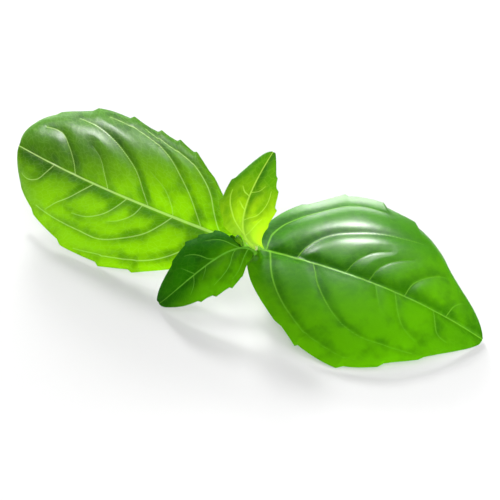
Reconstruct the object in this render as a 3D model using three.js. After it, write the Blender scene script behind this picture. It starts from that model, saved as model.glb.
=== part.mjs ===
// A cut basil sprig lying on a table: two broad leaves, two young leaves and a pair of
// bud leaves on a short four-sided stem. Millimetres, +Z up, the table at z = 0.
//
// Every leaf follows one law. Its midrib is a cubic curve from the stalk to the tip.
// At each station along it the blade spreads to a half width on either side, rises
// from the midrib by the fold angle and bends down again by the curl angle. Three
// numbers for an angle or a lean are its values at the base, the middle and the tip.
// Left and right are as seen on the upper face with the tip ahead. Notches are the stations
// at which the teeth of a margin end.

import * as THREE from 'three';

// ---- Driving dimensions ---------------------------------------------------

/** The middle of the ground that the sprig covers, which becomes the origin. */
const FOOTPRINT_MIDDLE = [-3, 12.9, -0.07];

const BLADE_THICKNESS = 0.45;
const RIB_HALF_WIDTH = 0.8;     // of the midrib that stands out under the blade
const STALK_LENGTH = 3.5;       // over this length the stalk thins into the blade
const STALK_SHARE = 0.07;       // of the midrib, along which the margins do not lean yet
const CURL_GROWTH = 1.5;        // how late the curl sets in between midrib and margin
const LEAN_GROWTH = 1.5;        // how late the lean sets in
const TIP_SHARE = 0.12;         // of the midrib, along which the lean fades out again
const TOOTH_PEAK = 0.85;        // where along its length a tooth of the margin is highest
const TOOTH_EDGE = 8;           // how close to the margin the teeth keep

const BROAD = {
  stations: 40, columns: 8, ribDepth: 0.9, stalkThickness: 1.3, toothDepth: 0.7,
};
const YOUNG = {
  stations: 30, columns: 6, ribDepth: 0.45, stalkThickness: 0.8, toothDepth: 0.5,
};
const TINY = {
  stations: 12, columns: 4, ribDepth: 0.1, stalkThickness: 0.5, toothDepth: 0,
  notchesLeft: [], notchesRight: [],
};

const LEAVES = {
  leaf_left: {
    ...BROAD, color: 0x57a312,
    midrib: [[-0.6, 6.3, 11.6], [-21.4, 16.1, 14.3], [-38.9, 23.1, 16.4], [-61.3, 44, 15]],
    faces: [0, -0.8, 0.6],
    left: [0.9, 1.1, 6.8, 13.8, 18, 18.3, 15.6, 11.3, 6, 0.4],
    right: [0.9, 1.1, 8.2, 18, 20.5, 21, 17, 12, 5.9, 0.4],
    notchesLeft: [0.22, 0.35, 0.47, 0.65, 0.82, 0.93],
    notchesRight: [0.2, 0.26, 0.32, 0.39, 0.51, 0.68, 0.85],
    leanLeft: [-3, 2.9, -0.6], leanRight: [-4, 8, 4.4],
    fold: [12, 8, 4], curlLeft: [25, 30, 40], curlRight: [45, 60, 60],
  },
  leaf_right: {
    ...BROAD, color: 0x3f8f0e,
    midrib: [[2.6, 5.8, 11.3], [19.8, -4.3, 14.3], [37.6, -11.7, 13.3], [55.6, -15.2, 0.6]],
    faces: [0, -0.4, 1],
    left: [0.9, 1.9, 13.5, 20.4, 26.2, 25.3, 20.8, 11.8, 5.7, 0.4],
    right: [0.9, 0.5, 9.1, 15.8, 21.7, 22, 15.7, 8.7, 3.5, 0.4],
    notchesLeft: [0.22, 0.39, 0.57, 0.71, 0.84], notchesRight: [0.3, 0.39, 0.58, 0.71, 0.83],
    leanLeft: [-6.4, -9, -2.2], leanRight: [-6.6, -4, 0.2],
    fold: [10, 6, 4], curlLeft: [50, 50, 30], curlRight: [60, 45, 20],
  },
  leaf_front: {
    ...YOUNG, color: 0x2f7a0a,
    midrib: [[1, 2.7, 12.9], [-3.9, 2.7, 19.6], [-17.6, -6.4, 7.8], [-22.4, -2.6, 0.8]],
    faces: [0, -0.64, 0.77],
    left: [0.6, 0.4, 4, 7.6, 7.7, 6.1, 4.6, 2.9, 1.6, 0.3],
    right: [0.6, 0.3, 0.4, 5.3, 6.9, 7.6, 5.7, 3.7, 1.6, 0.3],
    notchesLeft: [0.23, 0.35, 0.5, 0.63], notchesRight: [0.16, 0.33, 0.47, 0.59, 0.75],
    leanLeft: [-3, 1.7, -1], leanRight: [3, -3, 1.9],
    fold: [8, 6, 4], curlLeft: [40, 40, 20], curlRight: [40, 40, 20],
  },
  leaf_upright: {
    ...YOUNG, color: 0x8fc81a,
    midrib: [[0.8, 4, 13.8], [-6, 5.3, 18.1], [2.6, 12.4, 30.2], [5.6, 16.5, 32.9]],
    faces: [0, -0.77, 0.64],
    left: [0.8, 0.4, 0.5, 2.7, 4.1, 5.7, 5.4, 3.7, 2, 0.3],
    right: [0.8, 1, 3, 5.1, 7.1, 6.5, 4.3, 2.3, 0.9, 0.3],
    notchesLeft: [0.43, 0.64, 0.8], notchesRight: [0.35, 0.51, 0.68, 0.78],
    leanLeft: [4.8, -5.9, -1], leanRight: [-5.3, -0.2, 0.8],
    fold: [10, 8, 4], curlLeft: [30, 30, 30], curlRight: [30, 30, 30],
  },
  bud_leaf_left: {
    ...TINY, color: 0x2c7a08,
    midrib: [[-2.3, 4.7, 13.4], [-3, 4.8, 14.3], [-3.9, 4.9, 15.3], [-4.6, 5, 16.1]],
    faces: [0.6, -0.6, 0.5],
    left: [0.3, 0.5, 0.7, 0.8, 0.7, 0.5, 0.2],
    right: [0.3, 0.3, 0.4, 0.5, 0.5, 0.4, 0.2],
    leanLeft: [0, 0, 0], leanRight: [0, 0, 0],
    fold: [20, 20, 15], curlLeft: [10, 10, 10], curlRight: [10, 10, 10],
  },
  bud_leaf_right: {
    ...TINY, color: 0x2c7a08,
    midrib: [[-2, 4.1, 14.1], [-2.2, 4.1, 15], [-2.7, 4, 16], [-3.1, 3.9, 16.7]],
    faces: [-0.3, -0.7, 0.65],
    left: [0.3, 0.4, 0.7, 0.9, 1, 0.8, 0.3],
    right: [0.3, 0.3, 0.5, 0.6, 0.6, 0.4, 0.2],
    leanLeft: [0, 0, 0], leanRight: [0, 0, 0],
    fold: [20, 20, 15], curlLeft: [10, 10, 10], curlRight: [10, 10, 10],
  },
};

const STEM = {
  color: 0x9ac63a,
  centre: [
    [18.8, 26.4, 1.6], [12.5, 20.3, 2.4], [6, 13.3, 6.2], [0.9, 6.7, 10.9], [1.2, 5.2, 12.4],
  ],
  radius: [1.4, 1.35, 1.25, 1, 0.6],
  stations: 28, sides: 16,
  squareness: 0.07,             // how far the corners stand out of a round stem, as a share
};

// ---- The leaf law -----------------------------------------------------------

const radians = THREE.MathUtils.degToRad;
const vector = (xyz) => new THREE.Vector3(...xyz);

/** The value at s of the parabola through a base, a middle and a tip value. */
function alongThree([base, middle, tip], s) {
  return base * (1 - s) * (1 - 2 * s) + middle * 4 * s * (1 - s) + tip * s * (2 * s - 1);
}

/** A smooth curve through evenly spaced values, read at x from 0 to 1. */
function throughAll(values, x) {
  const last = values.length - 1;
  const i = Math.min(Math.floor(x * last), last - 1);
  const f = x * last - i;
  const here = values[i];
  const next = values[i + 1];
  const slope = (next - (values[i - 1] ?? 2 * here - next)) / 2;
  const nextSlope = ((values[i + 2] ?? 2 * next - here) - here) / 2;
  const bend = f * f * (3 - 2 * f);
  return here * (1 - bend) + next * bend + slope * f * (1 - f) ** 2 - nextSlope * f * f * (1 - f);
}

/** Half width at s. The listed widths crowd towards base and tip, where the margin turns fastest. */
function halfWidth(widths, s) {
  return throughAll(widths, Math.acos(1 - 2 * s) / Math.PI);
}

/** A tooth of the margin rises slowly from the notch behind it and drops steeply to its own. */
function toothRise(depth, notches, s) {
  const k = notches.findIndex((notch) => s < notch);
  if (k < 0) return 0;
  const start = notches[k - 1] ?? 0;
  const phase = (s - start) / (notches[k] - start);
  const rise = phase < TOOTH_PEAK ? (phase / TOOTH_PEAK) ** 2 : (1 - phase) / (1 - TOOTH_PEAK);
  return depth * rise * Math.sin(Math.PI * s);
}

/** Point on the midrib, with the way ahead, the blade's normal and its left-hand direction. */
function midribFrame(leaf, s) {
  const point = leaf.curve.getPointAt(s);
  const ahead = leaf.curve.getTangentAt(s);
  const faces = vector(leaf.faces);
  const up = faces.addScaledVector(ahead, -faces.dot(ahead)).normalize();
  const leftward = new THREE.Vector3().crossVectors(up, ahead);
  return { point, ahead, up, leftward };
}

/** How far the blade goes sideways and up from the midrib, and its slope there, in radians. */
function bladeSection(wide, reach, fold, curl) {
  const steps = 12;
  const slopeAt = (share) => fold - curl * share ** CURL_GROWTH;
  let across = 0;
  let rise = 0;
  for (let k = 0; k < steps; k += 1) {
    const slope = slopeAt(reach * (k + 0.5) / steps);
    across += Math.cos(slope) * reach * wide / steps;
    rise += Math.sin(slope) * reach * wide / steps;
  }
  return { across, rise, slope: slopeAt(reach) };
}

/** How much of the lean is left at s: it sets in past the stalk and fades out as the tip narrows. */
function leanShare(s) {
  const fromTip = Math.sqrt(Math.min(1, (1 - s) / TIP_SHARE));
  return Math.min(1, s / STALK_SHARE) * fromTip * (2 - fromTip);
}

/** Point of the upper face at station s and column t, from -1 at the right margin to 1 at the left. */
function bladePoint(leaf, s, t) {
  const side = t < 0 ? -1 : 1;
  const [widths, curls, leans, notches] = t < 0
    ? [leaf.right, leaf.curlRight, leaf.leanRight, leaf.notchesRight]
    : [leaf.left, leaf.curlLeft, leaf.leanLeft, leaf.notchesLeft];
  const reach = Math.abs(t);
  const wide = halfWidth(widths, s);
  const fold = radians(alongThree(leaf.fold, s));
  const section = bladeSection(wide, reach, fold, radians(alongThree(curls, s)));
  const tooth = toothRise(leaf.toothDepth, notches, s) * reach ** TOOTH_EDGE;
  const across = section.across + tooth;
  const lean = alongThree(leans, s) * reach ** LEAN_GROWTH * leanShare(s);
  const { point, ahead, up, leftward } = midribFrame(leaf, s);
  const place = point.addScaledVector(leftward, side * across).addScaledVector(up, section.rise);
  place.addScaledVector(ahead, lean);
  const normal = up.multiplyScalar(Math.cos(section.slope));
  normal.addScaledVector(leftward, -side * Math.sin(section.slope));
  return { place, normal, fromRib: reach * wide };
}

/** Thickness of the leaf: a thin blade, and along its middle a rib below and a stout stalk. */
function leafThickness(leaf, s, fromRib) {
  const fromStem = s * leaf.curve.getLength();
  const stalk = (leaf.stalkThickness - BLADE_THICKNESS) * Math.exp(-((fromStem / STALK_LENGTH) ** 2));
  const rib = leaf.ribDepth * (1 - s);
  return BLADE_THICKNESS + (stalk + rib) * Math.exp(-((fromRib / RIB_HALF_WIDTH) ** 2));
}

/** One closed section of a leaf: over the upper face from right to left and back below. */
function leafRing(leaf, s) {
  const upper = [];
  const lower = [];
  for (let j = -leaf.columns; j <= leaf.columns; j += 1) {
    const t = Math.sign(j) * Math.abs(j / leaf.columns) ** 1.5;
    const { place, normal, fromRib } = bladePoint(leaf, s, t);
    upper.push(place);
    lower.unshift(place.clone().addScaledVector(normal, -leafThickness(leaf, s, fromRib)));
  }
  return [...upper, ...lower];
}

// ---- The stem ---------------------------------------------------------------

/** One section of the stem: a circle drawn out towards four corners. */
function stemRing(curve, s) {
  const ahead = curve.getTangentAt(s);
  const sideways = new THREE.Vector3(0, 0, 1).cross(ahead).normalize();
  const upward = new THREE.Vector3().crossVectors(ahead, sideways);
  const ring = [];
  for (let k = 0; k < STEM.sides; k += 1) {
    const turn = -2 * Math.PI * k / STEM.sides;
    const radius = throughAll(STEM.radius, s) * (1 + STEM.squareness * Math.cos(4 * turn));
    const point = curve.getPointAt(s).addScaledVector(sideways, radius * Math.cos(turn));
    ring.push(point.addScaledVector(upward, radius * Math.sin(turn)));
  }
  return ring;
}

// ---- Making the solids ------------------------------------------------------

/** A closed body through sections of equal count, each turning clockwise seen from ahead. */
function solidThrough(sectionAt, stations) {
  const rings = [];
  for (let k = 0; k <= stations; k += 1) rings.push(sectionAt(k / stations));
  const count = rings[0].length;
  const points = rings.flat();
  const faces = [];
  for (let first = 0; first < stations * count; first += count) {
    for (let i = 0; i < count; i += 1) {
      const a = first + i;
      const b = first + (i + 1) % count;
      faces.push(a, a + count, b + count, a, b + count, b);
    }
  }
  closeEnd(points, faces, rings[0], 0, false);
  closeEnd(points, faces, rings[stations], stations * count, true);
  const geometry = new THREE.BufferGeometry().setFromPoints(points);
  geometry.setIndex(faces);
  geometry.computeVertexNormals();
  return geometry;
}

/** Closes an end with a fan round the middle of its ring. */
function closeEnd(points, faces, ring, first, facesAhead) {
  const middle = new THREE.Vector3();
  for (const point of ring) middle.addScaledVector(point, 1 / ring.length);
  const hub = points.push(middle) - 1;
  for (let i = 0; i < ring.length; i += 1) {
    const a = first + i;
    const b = first + (i + 1) % ring.length;
    if (facesAhead) faces.push(hub, b, a);
    else faces.push(hub, a, b);
  }
}

function meshOf(name, color, geometry) {
  const material = new THREE.MeshStandardMaterial({ color, roughness: 0.45, metalness: 0 });
  const mesh = new THREE.Mesh(geometry, material);
  mesh.name = name;
  return mesh;
}

function leafMesh(name, shape) {
  const leaf = { ...shape, curve: new THREE.CubicBezierCurve3(...shape.midrib.map(vector)) };
  return meshOf(name, leaf.color, solidThrough((s) => leafRing(leaf, s), leaf.stations));
}

function stemMesh() {
  const curve = new THREE.CatmullRomCurve3(STEM.centre.map(vector));
  return meshOf('stem', STEM.color, solidThrough((s) => stemRing(curve, s), STEM.stations));
}

const sprig = new THREE.Group();
sprig.add(stemMesh());
for (const [name, shape] of Object.entries(LEAVES)) sprig.add(leafMesh(name, shape));
sprig.position.sub(vector(FOOTPRINT_MIDDLE));

const part = new THREE.Group();
part.add(sprig);
export default part;
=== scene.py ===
# %% [markdown]
# # A sprig of basil on a pale table
# A real sprig is one short four-sided stem with pairs of leaves grown on it: two broad leaves
# below, two young ones above, and a bud of two tiny folded leaves at the top. It has been cut
# off and lies on its leaves. The frame that is loaded here holds one plain solid for each of
# these pieces. Every plain solid is replaced by a finished piece of the same size in the same
# place, so all that follows is about how a leaf is shaped, veined and lit.

# %% The plain sprig
import math

import bpy
import numpy as np
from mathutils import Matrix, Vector, noise


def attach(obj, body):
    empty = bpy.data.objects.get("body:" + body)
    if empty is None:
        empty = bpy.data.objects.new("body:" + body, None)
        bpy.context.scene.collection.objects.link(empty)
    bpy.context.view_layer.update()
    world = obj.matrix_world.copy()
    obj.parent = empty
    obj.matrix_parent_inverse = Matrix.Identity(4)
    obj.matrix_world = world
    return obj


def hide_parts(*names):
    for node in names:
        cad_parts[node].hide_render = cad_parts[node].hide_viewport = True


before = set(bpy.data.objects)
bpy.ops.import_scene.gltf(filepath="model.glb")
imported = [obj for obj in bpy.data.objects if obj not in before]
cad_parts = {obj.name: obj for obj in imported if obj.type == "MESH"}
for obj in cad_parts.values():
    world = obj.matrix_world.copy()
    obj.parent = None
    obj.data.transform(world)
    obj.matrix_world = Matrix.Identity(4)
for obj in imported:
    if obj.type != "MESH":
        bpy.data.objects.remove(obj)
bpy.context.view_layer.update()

MM = 0.001
print("plain pieces:", ", ".join(sorted(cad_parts)))

# %% [markdown]
# ## The camera first
# The camera stands in front of the sprig and looks down on it, with a long lens, so that near
# and far leaves keep their sizes. It is set first, because every choice of detail below
# depends on how large a leaf is seen.

# %% Camera
LOOK_AT = np.array([3, -11.25, 14.48]) * MM
LOOK_DOWN = math.radians(40)
CAMERA_DISTANCE = 336.3 * MM
LENS = 100  # in mm, on a sensor 36 mm wide

toward_camera = np.array([0, -math.cos(LOOK_DOWN), math.sin(LOOK_DOWN)])
bpy.ops.object.camera_add(
    location=LOOK_AT + CAMERA_DISTANCE * toward_camera,
    rotation=(math.pi / 2 - LOOK_DOWN, 0, 0),
)
camera = bpy.context.object
camera.data.lens = LENS
bpy.context.scene.camera = camera
print("camera at", [round(x / MM) for x in camera.location], "mm")

# %% [markdown]
# ## How a leaf is laid out
# A leaf blade is a thin sheet that bends two ways. It could be sculpted by hand, or cut from
# a flat sheet and draped, but the sheet must keep its real width while it curls. So one law
# lays out every leaf: a midrib curve from the stalk to the tip, a half width on either side
# at each station along it, a fold that lifts the blade from the midrib, and a curl that bends
# it down again. Station s runs from 0 at the stem to 1 at the tip. Column t runs from -1 at
# the right margin to 1 at the left one, as seen on the upper face with the tip ahead.

# %% Curves that the layout uses
def along_three(values, s):
    """The parabola through a value at the base, the middle and the tip."""
    base, middle, tip = values
    return base * (1 - s) * (1 - 2 * s) + middle * 4 * s * (1 - s) + tip * s * (2 * s - 1)


def through_all(values, x):
    """A smooth curve through evenly spaced values or points, read at x from 0 to 1."""
    values = np.asarray(values, float)
    padded = np.concatenate([[2 * values[0] - values[1]], values, [2 * values[-1] - values[-2]]])
    x = np.asarray(x, float) * (len(values) - 1)
    i = np.clip(np.floor(x).astype(int), 0, len(values) - 2)
    f = (x - i).reshape(x.shape + (1,) * (values.ndim - 1))
    before, here, after, beyond = (padded[i + k] for k in range(4))
    bend = f * f * (3 - 2 * f)
    slopes = (after - before) / 2 * f * (1 - f) ** 2 - (beyond - here) / 2 * f * f * (1 - f)
    return here * (1 - bend) + after * bend + slopes


def half_width(widths, s):
    """Half width at s: the listed ones crowd towards base and tip, where a margin turns fastest."""
    return through_all(widths, np.arccos(1 - 2 * np.clip(s, 0, 1)) / math.pi)


def unit(vectors):
    return vectors / np.linalg.norm(vectors, axis=-1, keepdims=True)


print("a half width half way up a blade:", half_width([1, 6, 18, 6, 1], np.array([0.5])))

# %% The midrib and the frame that travels along it
MIDRIB_STEPS = 400  # straight steps that stand for a midrib


def midrib_samples(leaf):
    """Points of the midrib's cubic curve, and how far along it each lies, in mm."""
    u = np.linspace(0, 1, MIDRIB_STEPS + 1)[:, None]
    a, b, c, d = (np.array(point, float) for point in leaf["midrib"])
    points = a * (1 - u) ** 3 + 3 * b * u * (1 - u) ** 2 + 3 * c * u * u * (1 - u) + d * u**3
    steps = np.linalg.norm(np.diff(points, axis=0), axis=1)
    return points, np.concatenate([[0], np.cumsum(steps)])


def midrib_frame(leaf, s):
    """Midrib points with the way ahead, the blade's normal and its left-hand direction."""
    points, lengths = midrib_samples(leaf)
    ways = unit(np.gradient(points, lengths, axis=0))
    reached = np.clip(s, 0, 1) * lengths[-1]
    point = np.stack([np.interp(reached, lengths, points[:, k]) for k in range(3)], -1)
    ahead = unit(np.stack([np.interp(reached, lengths, ways[:, k]) for k in range(3)], -1))
    point = point + ahead * (np.minimum(s, 0) * lengths[-1])[:, None]
    faces = np.array(leaf["faces"], float)
    up = unit(faces - (ahead @ faces)[:, None] * ahead)
    return point, ahead, up, np.cross(up, ahead)


straight = dict(midrib=[[0, 0, 0], [10, 0, 0], [20, 0, 0], [30, 0, 0]], faces=[0, 0, 1])
print("half way up a straight midrib of 30 mm:", midrib_frame(straight, np.array([0.5]))[0])

# %% One spot of the blade
CURL_GROWTH = 1.5  # how late the curl sets in between midrib and margin
LEAN_GROWTH = 1.5  # how late a margin leans towards base or tip
STALK_SHARE = 0.07  # of the midrib, along which the lean sets in
TIP_SHARE = 0.12  # of the midrib, along which the lean fades out again
TOOTH_PEAK = 0.88  # where along its length a tooth of the margin is highest
TOOTH_EDGE = 8  # how close to the margin the teeth keep
SECTION_STEPS = 12  # straight steps that stand for the curl between midrib and margin


def blade_section(wide, reach, fold, curl):
    """How far the blade goes sideways and up from the midrib, and its slope there."""
    across = np.zeros_like(wide)
    rise = np.zeros_like(wide)
    for k in range(SECTION_STEPS):
        slope = fold - curl * (reach * (k + 0.5) / SECTION_STEPS) ** CURL_GROWTH
        across += np.cos(slope) * reach * wide / SECTION_STEPS
        rise += np.sin(slope) * reach * wide / SECTION_STEPS
    return across, rise, fold - curl * reach**CURL_GROWTH


def tooth_rise(depth, notches, s):
    """A tooth rises slowly from the notch behind it and drops steeply to its own."""
    rise = np.zeros_like(s)
    for start, end in zip([0] + notches[:-1], notches):
        phase = np.clip((s - start) / (end - start), 0, 1)
        slow = (phase / TOOTH_PEAK) ** 2
        steep = (1 - phase) / (1 - TOOTH_PEAK)
        rise += np.where((s > start) & (s < end), np.minimum(slow, steep), 0)
    return depth * rise * np.sin(math.pi * np.clip(s, 0, 1))


def lean_share(s):
    """How much of the lean is left at s: it fades out as the tip narrows."""
    from_tip = np.sqrt(np.clip((1 - s) / TIP_SHARE, 0, 1))
    return np.clip(s / STALK_SHARE, 0, 1) * from_tip * (2 - from_tip)


def by_side(t, right, left):
    return np.where(t < 0, right, left)


def blade_spot(leaf, s, t):
    """Place and normal of the upper face at s and t, in mm, and its place when pressed flat."""
    side = by_side(t, -1, 1)
    reach = np.abs(t)
    wide = by_side(t, half_width(leaf["right"], s), half_width(leaf["left"], s))
    curls = by_side(t, along_three(leaf["curl_right"], s), along_three(leaf["curl_left"], s))
    leans = by_side(t, along_three(leaf["lean_right"], s), along_three(leaf["lean_left"], s))
    fold = np.radians(along_three(leaf["fold"], s))
    across, rise, slope = blade_section(wide, reach, fold, np.radians(curls))
    teeth = by_side(
        t,
        tooth_rise(leaf["tooth_depth"], leaf["notches_right"], s),
        tooth_rise(leaf["tooth_depth"], leaf["notches_left"], s),
    )
    across = across + teeth * reach**TOOTH_EDGE
    lean = leans * reach**LEAN_GROWTH * lean_share(s)
    point, ahead, up, leftward = midrib_frame(leaf, s)
    place = point + leftward * (side * across)[:, None] + up * rise[:, None]
    place = place + ahead * lean[:, None]
    normal = up * np.cos(slope)[:, None] - leftward * (side * np.sin(slope))[:, None]
    flat = np.stack([s * leaf["length"], side * reach * wide], -1)
    return place, normal, flat


before_notches = tooth_rise(1, [0.4, 0.6], np.array([0.35, 0.575]))
print("teeth 1 mm deep rise to", before_notches.round(2), "mm before their notches")

# %% [markdown]
# ## The leaves themselves
# Each leaf is a handful of numbers in millimetres and degrees. Midrib points lie in the same
# drawing that the plain solids were made from, whose origin the frame moves to the middle
# of the sprig. The side veins are listed with them, because in basil they are what shapes
# the blade: it puffs up between them. A vein is its strength and a few spots that it passes,
# each given by station s and by its share of the way from midrib to margin.

# %% Kinds of leaves
FOOTPRINT_MIDDLE = np.array([-3, 12.9, -0.07])


def in_frame(places):
    """From millimetres in the drawing to metres in the frame."""
    return (np.asarray(places) - FOOTPRINT_MIDDLE) * MM


BROAD = dict(tooth_depth=0.85, rib_depth=0.9, stalk=1.3, rib_width=0.42, vein_width=0.2)
YOUNG = dict(tooth_depth=0.6, rib_depth=0.45, stalk=0.8, rib_width=0.26, vein_width=0.14)
TINY_VEINS = [(0.8, [(0.25, 0), (0.4, 0.4), (0.6, 0.7)])]
TINY = dict(
    tooth_depth=0, rib_depth=0.1, stalk=0.5, rib_width=0.15, vein_width=0.1,
    lean_left=[0, 0, 0], lean_right=[0, 0, 0],
    fold=[20, 20, 15], curl_left=[10, 10, 10], curl_right=[10, 10, 10],
    notches_left=[], notches_right=[], puff=(0.05, 0.05),
    veins_left=TINY_VEINS, veins_right=TINY_VEINS,
)

LEAVES = {}


def add_leaf(name, kind, **sizes):
    """Adds a leaf of that kind, and the length of its midrib in mm."""
    leaf = dict(kind, **sizes)
    leaf["length"] = midrib_samples(leaf)[1][-1]
    LEAVES[name] = leaf
    side_veins = len(leaf["veins_left"]) + len(leaf["veins_right"])
    print(f"{name}: {leaf['length']:.0f} mm long, {side_veins} side veins")


print("teeth in mm: broad leaf", BROAD["tooth_depth"], "and young leaf", YOUNG["tooth_depth"])

# %% Broad leaf on the left
add_leaf(
    "leaf_left", BROAD,
    midrib=[[-0.6, 6.3, 11.6], [-21.4, 16.1, 14.3], [-38.9, 23.1, 16.4], [-61.3, 44, 15]],
    faces=[0, -0.8, 0.6],
    left=[0.9, 1.1, 6.8, 13.8, 18, 18.3, 15.6, 11.3, 6, 0.4],
    right=[0.9, 1.1, 8.2, 18, 20.5, 21, 17, 12, 5.9, 0.4],
    lean_left=[-3, 2.9, -0.6], lean_right=[-4, 8, 4.4],
    fold=[12, 8, 4], curl_left=[25, 30, 40], curl_right=[45, 60, 60],
    notches_left=[0.22, 0.35, 0.47, 0.65, 0.82, 0.93],
    notches_right=[0.2, 0.26, 0.32, 0.39, 0.51, 0.68, 0.85],
    puff=(0.7, 0.35),
    veins_left=[
        (1, [(0.1, 0), (0.16, 0.34), (0.22, 0.63), (0.28, 0.78), (0.36, 0.83), (0.45, 0.86),
            (0.57, 0.95)]),
        (1, [(0.29, 0), (0.32, 0.21), (0.36, 0.4), (0.43, 0.56), (0.5, 0.67), (0.6, 0.69),
            (0.7, 0.75), (0.8, 0.82)]),
        (0.6, [(0.41, 0), (0.425, 0.18), (0.46, 0.32), (0.5, 0.4)]),
        (0.8, [(0.475, 0), (0.5, 0.18), (0.53, 0.33), (0.58, 0.46), (0.64, 0.52)]),
        (0.9, [(0.62, 0), (0.65, 0.16), (0.685, 0.36), (0.72, 0.53), (0.75, 0.74)]),
        (0.8, [(0.81, 0), (0.825, 0.2), (0.845, 0.42), (0.89, 0.6), (0.93, 0.68)]),
    ],
    veins_right=[
        (1, [(0.1, 0), (0.12, 0.16), (0.15, 0.45), (0.18, 0.69), (0.24, 0.79), (0.34, 0.84),
            (0.44, 0.92)]),
        (1, [(0.18, 0), (0.205, 0.16), (0.24, 0.35), (0.29, 0.54), (0.35, 0.73), (0.43, 0.83),
            (0.6, 0.88)]),
        (0.5, [(0.29, 0), (0.305, 0.14), (0.34, 0.3), (0.4, 0.42)]),
        (1, [(0.39, 0), (0.42, 0.15), (0.46, 0.36), (0.53, 0.53), (0.61, 0.66), (0.73, 0.82)]),
        (0.6, [(0.56, 0), (0.585, 0.16), (0.61, 0.32), (0.65, 0.44)]),
        (0.9, [(0.71, 0), (0.73, 0.18), (0.76, 0.37), (0.8, 0.55), (0.88, 0.66)]),
    ],
)

# %% Broad leaf on the right
add_leaf(
    "leaf_right", BROAD,
    midrib=[[2.6, 5.8, 11.3], [19.8, -4.3, 14.3], [37.6, -11.7, 13.3], [55.6, -15.2, 0.6]],
    faces=[0, -0.4, 1],
    left=[0.9, 1.9, 13.5, 20.4, 26.2, 25.3, 20.8, 11.8, 5.7, 0.4],
    right=[0.9, 0.5, 9.1, 15.8, 21.7, 22, 15.7, 8.7, 3.5, 0.4],
    lean_left=[-6.4, -9, -2.2], lean_right=[-6.6, -4, 0.2],
    fold=[10, 6, 4], curl_left=[50, 50, 30], curl_right=[60, 45, 20],
    notches_left=[0.22, 0.39, 0.57, 0.71, 0.84],
    notches_right=[0.3, 0.39, 0.58, 0.71, 0.83],
    puff=(0.24, 0.48),
    rib_width=0.32, vein_width=0.16,
    veins_left=[
        (1, [(0.02, 0), (0.03, 0.22), (0.05, 0.5), (0.09, 0.63), (0.15, 0.67), (0.22, 0.72),
            (0.34, 0.77), (0.54, 0.82)]),
        (1, [(0.165, 0), (0.19, 0.16), (0.24, 0.3), (0.31, 0.39), (0.41, 0.44), (0.52, 0.52),
            (0.62, 0.6), (0.7, 0.69)]),
        (0.45, [(0.38, 0), (0.4, 0.1), (0.43, 0.19), (0.48, 0.28), (0.55, 0.36)]),
        (0.45, [(0.48, 0), (0.5, 0.12), (0.53, 0.21), (0.58, 0.3), (0.65, 0.4)]),
        (0.9, [(0.635, 0), (0.65, 0.13), (0.68, 0.23), (0.73, 0.35), (0.8, 0.52)]),
        (0.6, [(0.82, 0), (0.84, 0.2), (0.88, 0.42)]),
    ],
    veins_right=[
        (1, [(0.04, 0), (0.06, 0.19), (0.11, 0.45), (0.17, 0.64), (0.25, 0.77), (0.35, 0.83),
            (0.47, 0.86), (0.6, 0.9)]),
        (1, [(0.24, 0), (0.27, 0.13), (0.31, 0.28), (0.38, 0.43), (0.47, 0.56), (0.56, 0.63),
            (0.66, 0.69), (0.78, 0.86)]),
        (0.5, [(0.51, 0), (0.54, 0.13), (0.58, 0.28), (0.64, 0.38)]),
        (0.9, [(0.595, 0), (0.62, 0.13), (0.65, 0.27), (0.69, 0.42), (0.76, 0.62)]),
        (0.8, [(0.765, 0), (0.79, 0.2), (0.82, 0.42), (0.87, 0.62)]),
    ],
)

# %% Young leaf in front
add_leaf(
    "leaf_front", YOUNG,
    midrib=[[1, 2.7, 12.9], [-3.9, 2.7, 19.6], [-17.6, -6.4, 7.8], [-22.4, -2.6, 0.8]],
    faces=[0, -0.64, 0.77],
    left=[0.6, 0.4, 4, 7.6, 7.7, 6.1, 4.6, 2.9, 1.6, 0.3],
    right=[0.6, 0.3, 0.4, 5.3, 6.9, 7.6, 5.7, 3.7, 1.6, 0.3],
    lean_left=[-3, 1.7, -1], lean_right=[3, -3, 1.9],
    fold=[8, 6, 4], curl_left=[40, 40, 20], curl_right=[40, 40, 20],
    notches_left=[0.23, 0.35, 0.5, 0.63],
    notches_right=[0.16, 0.33, 0.47, 0.59, 0.75],
    puff=(0.35, 0.35),
    veins_left=[
        (0.8, [(0.05, 0), (0.1, 0.4), (0.18, 0.68), (0.3, 0.8)]),
        (1, [(0.17, 0), (0.22, 0.17), (0.27, 0.38), (0.35, 0.54), (0.46, 0.68)]),
        (0.7, [(0.45, 0), (0.48, 0.14), (0.53, 0.34)]),
        (0.9, [(0.58, 0), (0.61, 0.3), (0.67, 0.6)]),
    ],
    veins_right=[
        (0.8, [(0.12, 0), (0.17, 0.3), (0.27, 0.6), (0.4, 0.76)]),
        (1, [(0.36, 0), (0.41, 0.16), (0.46, 0.37), (0.52, 0.54), (0.6, 0.68)]),
        (0.7, [(0.56, 0), (0.6, 0.21), (0.65, 0.46)]),
    ],
)

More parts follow.
